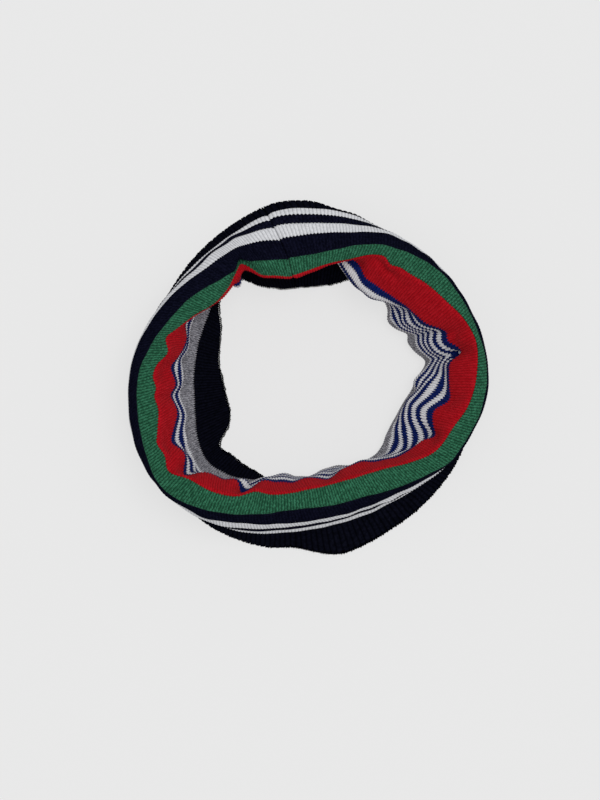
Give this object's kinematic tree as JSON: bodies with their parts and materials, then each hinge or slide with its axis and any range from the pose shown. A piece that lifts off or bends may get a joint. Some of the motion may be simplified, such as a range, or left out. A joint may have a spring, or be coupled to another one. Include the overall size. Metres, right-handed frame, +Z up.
{
  "type": "neck gaiter",
  "caption": "Striped knitted neck gaiter: a seamed tube with ribbed cuffs, turned down over itself and standing as a double-walled ring.",
  "frame": {"origin": "middle of the ring's footprint, on the floor it stands on", "axes": "+Z up through the opening for the neck, +Y towards the side with the seam, +X to the right of it seen from above"},
  "size_m": [0.199, 0.2004, 0.0515],
  "materials": {
    "cuff_yarn": "matt ribbed knit, near-black navy acrylic",
    "navy_yarn": "matt knit, dark navy acrylic",
    "white_yarn": "matt knit, off-white acrylic",
    "green_yarn": "matt knit, green marl flecked with dark yarn",
    "red_yarn": "matt knit, deep red acrylic",
    "blue_yarn": "matt knit, royal blue acrylic",
    "grey_yarn": "matt knit, grey marl",
    "seam_thread": "linking thread in navy over the joined panel edges",
    "label_ribbon": "plain white satin ribbon, nothing printed on it"
  },
  "bodies": {
    "root": {"outer_rib_cuff": "cuff_yarn", "narrow_white_stripe": "white_yarn", "narrow_navy_stripe": "navy_yarn", "wide_white_stripe": "white_yarn", "navy_band": "navy_yarn", "green_marl_band": "green_yarn", "red_band": "red_yarn", "blue_stripe_1": "blue_yarn", "white_stripe_1": "white_yarn", "blue_stripe_2": "blue_yarn", "white_stripe_2": "white_yarn", "blue_stripe_3": "blue_yarn", "white_stripe_3": "white_yarn", "blue_stripe_4": "blue_yarn", "white_stripe_4": "white_yarn", "blue_stripe_5": "blue_yarn", "white_stripe_5": "white_yarn", "grey_marl_band": "grey_yarn", "inner_rib_cuff": "cuff_yarn", "side_seam": "seam_thread", "care_label": "label_ribbon"}
  },
  "joints": []
}
